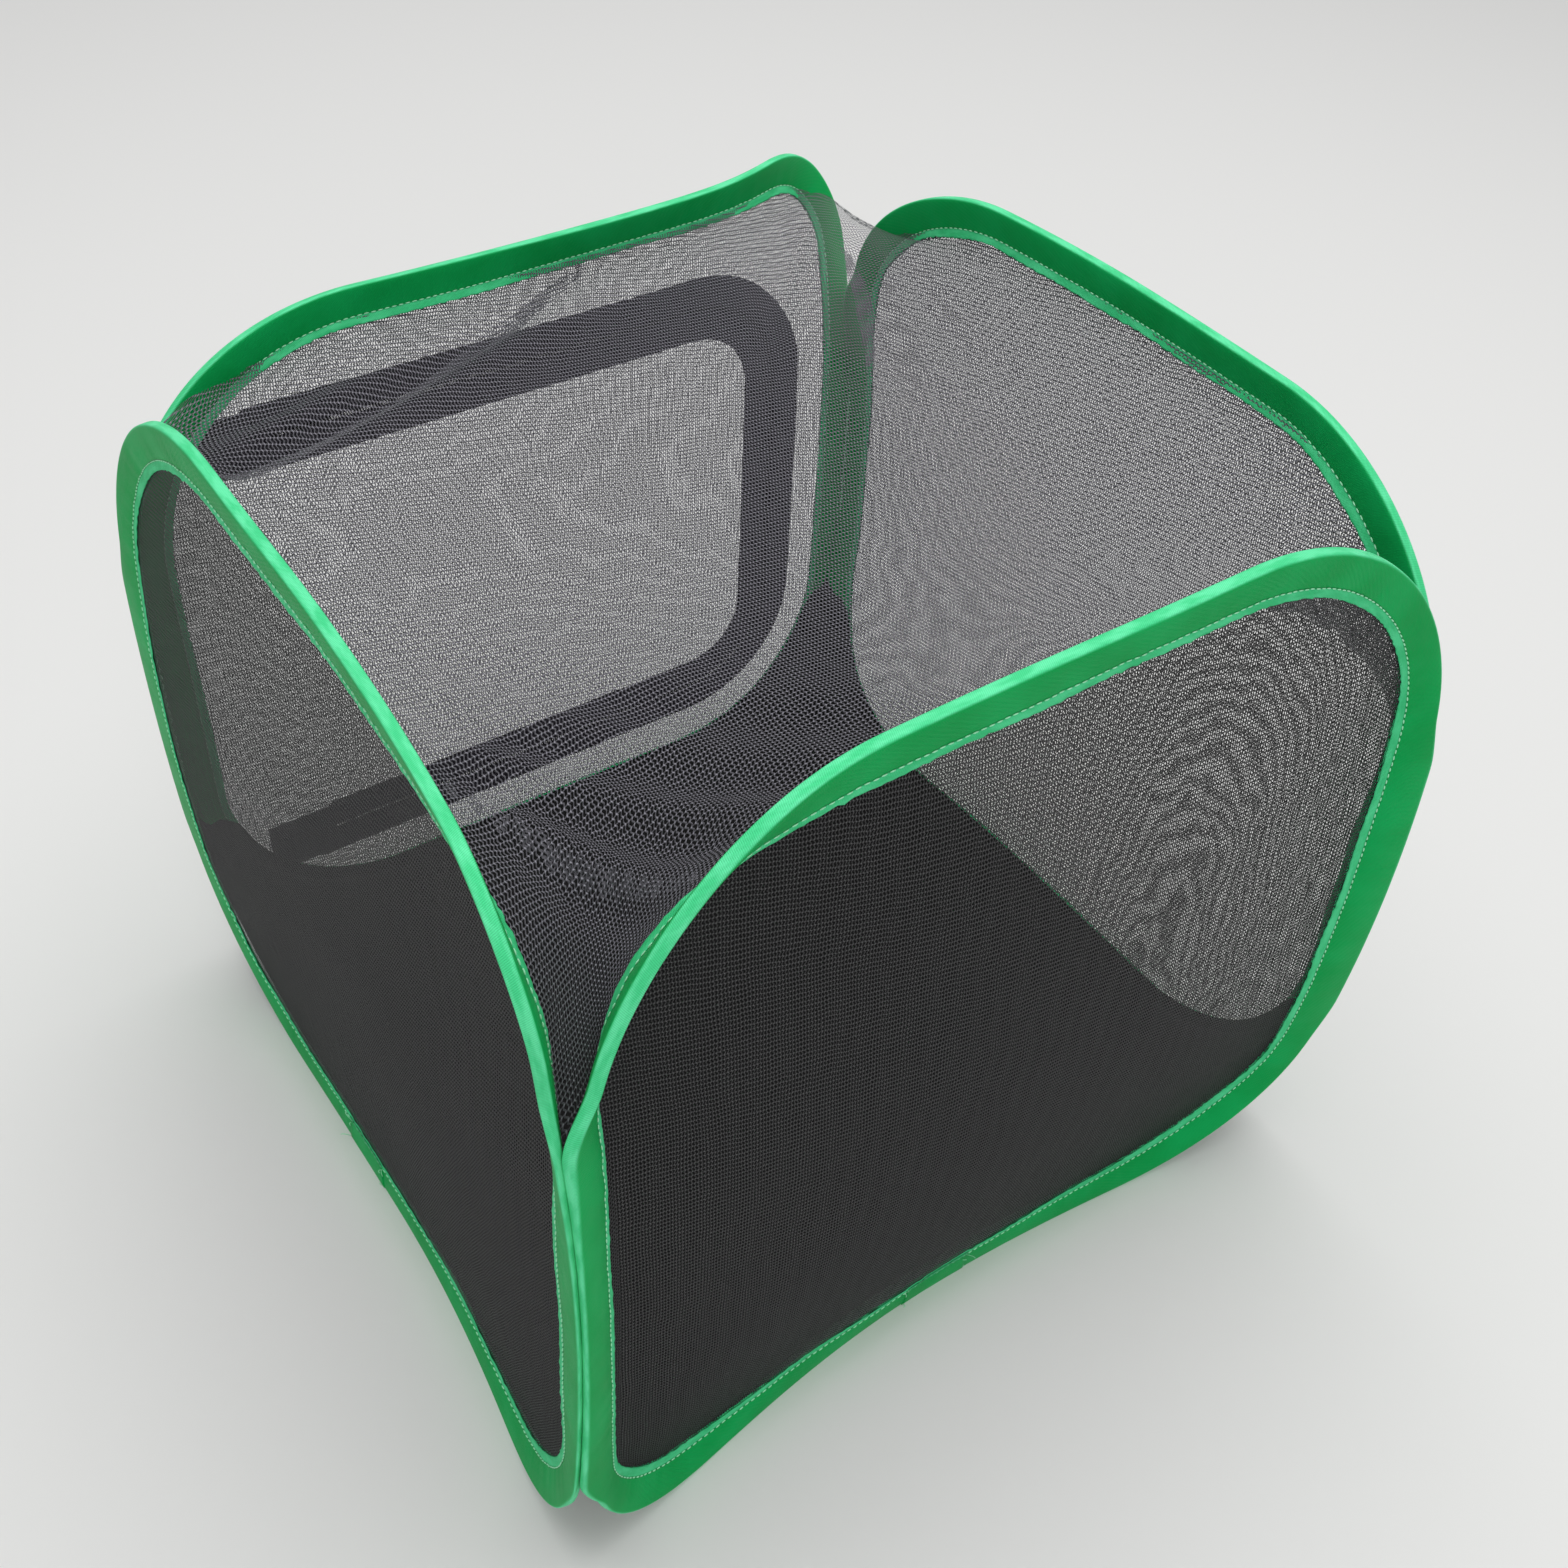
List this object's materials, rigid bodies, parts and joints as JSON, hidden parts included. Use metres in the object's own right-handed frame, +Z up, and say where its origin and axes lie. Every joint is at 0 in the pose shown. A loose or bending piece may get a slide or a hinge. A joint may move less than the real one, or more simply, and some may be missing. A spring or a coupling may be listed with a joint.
{
  "type": "butterfly habitat",
  "caption": "Pop-up cube cage for butterflies: spring hoops in green sleeves, black mesh walls and top, cloth floor and a zipped mesh door at the back.",
  "frame": {"origin": "middle of the square between the four corner fold lines, on the ground under the floor cloth", "axes": "+Z up; -Y out through the front wall; +Y out through the wall with the zip door; +X to the right seen from the front"},
  "size_m": [0.4117, 0.4064, 0.3921],
  "materials": {
    "sleeve_satin": "green satin tape",
    "wall_net": "fine black knit mesh",
    "floor_cloth": "black woven cloth",
    "zip_tape": "black woven zip tape",
    "zip_nylon": "nylon coil",
    "zip_metal": "black enamel",
    "spring_steel": "bare spring wire"
  },
  "bodies": {
    "front_panel": {"hoop_front": "spring_steel", "ferrule_front": "spring_steel", "sleeve_front": "sleeve_satin", "mesh_front": "wall_net", "top_mesh": "wall_net", "floor_cloth": "floor_cloth", "seam_front_left": "sleeve_satin", "seam_front_right": "sleeve_satin"},
    "left_panel": {"hoop_left": "spring_steel", "ferrule_left": "spring_steel", "sleeve_left": "sleeve_satin", "mesh_left": "wall_net", "seam_back_left": "sleeve_satin"},
    "right_panel": {"hoop_right": "spring_steel", "ferrule_right": "spring_steel", "sleeve_right": "sleeve_satin", "mesh_right": "wall_net"},
    "back_panel": {"hoop_back": "spring_steel", "ferrule_back": "spring_steel", "sleeve_back": "sleeve_satin", "mesh_back": "wall_net", "frame_zip_tape": "zip_tape", "frame_zip_coil": "zip_nylon", "zip_top_stop": "zip_metal", "zip_bottom_stop": "zip_metal", "seam_back_right": "sleeve_satin"},
    "door": {"door_mesh": "wall_net", "door_zip_tape": "zip_tape", "door_zip_coil": "zip_nylon"},
    "slider": {"zip_slider": "zip_metal"},
    "pull": {"zip_pull": "zip_metal"}
  },
  "joints": [
    {"name": "fold_left", "type": "hinge", "parent": "front_panel", "child": "left_panel", "pos_m": [-0.195, -0.195, 0.19], "axis": [0, 0, -1], "range_deg": [0, 45], "deforming": ["top_mesh", "floor_cloth"]},
    {"name": "fold_right", "type": "hinge", "parent": "front_panel", "child": "right_panel", "pos_m": [0.195, -0.195, 0.19], "axis": [0, 0, -1], "range_deg": [0, 45], "deforming": ["top_mesh", "floor_cloth"]},
    {"name": "fold_back", "type": "hinge", "parent": "left_panel", "child": "back_panel", "pos_m": [-0.195, 0.195, 0.19], "axis": [0, 0, 1], "range_deg": [0, 45], "deforming": ["top_mesh", "floor_cloth"]},
    {"name": "door_swing", "type": "hinge", "parent": "back_panel", "child": "door", "pos_m": [-0.12815, 0.1979, 0.17555], "axis": [0, 0, 1], "range_deg": [0, 135]},
    {"name": "zip_slide", "type": "slide", "parent": "back_panel", "child": "slider", "axis": [1, 0, 0], "range_m": [0, 0.21], "deforming": ["door_zip_tape", "door_zip_coil"]},
    {"name": "pull_swing", "type": "hinge", "parent": "slider", "child": "pull", "pos_m": [-0.12315, 0.20367, 0.2951], "axis": [0, 0, 1], "range_deg": [0, 175]}
  ],
  "couplings": [
    {"joint": "fold_right", "follows": "fold_left", "ratio": 1},
    {"joint": "fold_back", "follows": "fold_left", "ratio": 1}
  ]
}
